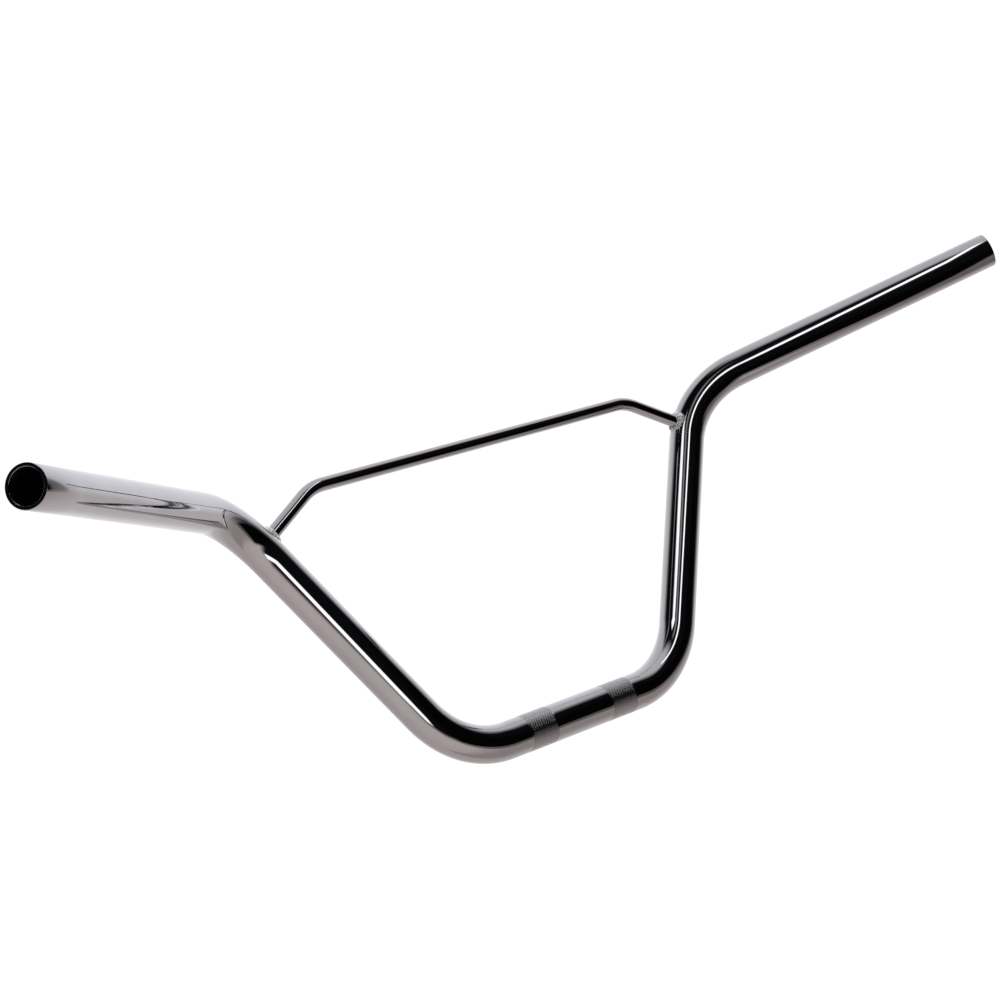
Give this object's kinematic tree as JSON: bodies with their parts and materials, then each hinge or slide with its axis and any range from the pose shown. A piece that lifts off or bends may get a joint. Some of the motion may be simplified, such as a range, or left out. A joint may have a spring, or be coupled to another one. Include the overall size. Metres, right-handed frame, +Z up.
{
  "type": "motorcycle handlebar",
  "caption": "High-rise motorcycle handlebar: one bent chromed tube with swept grips, knurled clamp bands and a welded cross brace.",
  "frame": {"origin": "middle of the tube's axis in the straight centre section, where the clamp holds it", "axes": "+X along the bar to the side on the picture's right, +Y away from the rider, +Z up the risers"},
  "size_m": [0.7378, 0.1411, 0.2122],
  "materials": {
    "main_tube": "mirror chrome plate",
    "cross_brace": "mirror chrome plate",
    "weld": "chrome plate over a rippled weld"
  },
  "bodies": {
    "root": {"main_tube": "main_tube", "cross_brace": "cross_brace", "weld_left": "weld", "weld_right": "weld"}
  },
  "joints": []
}
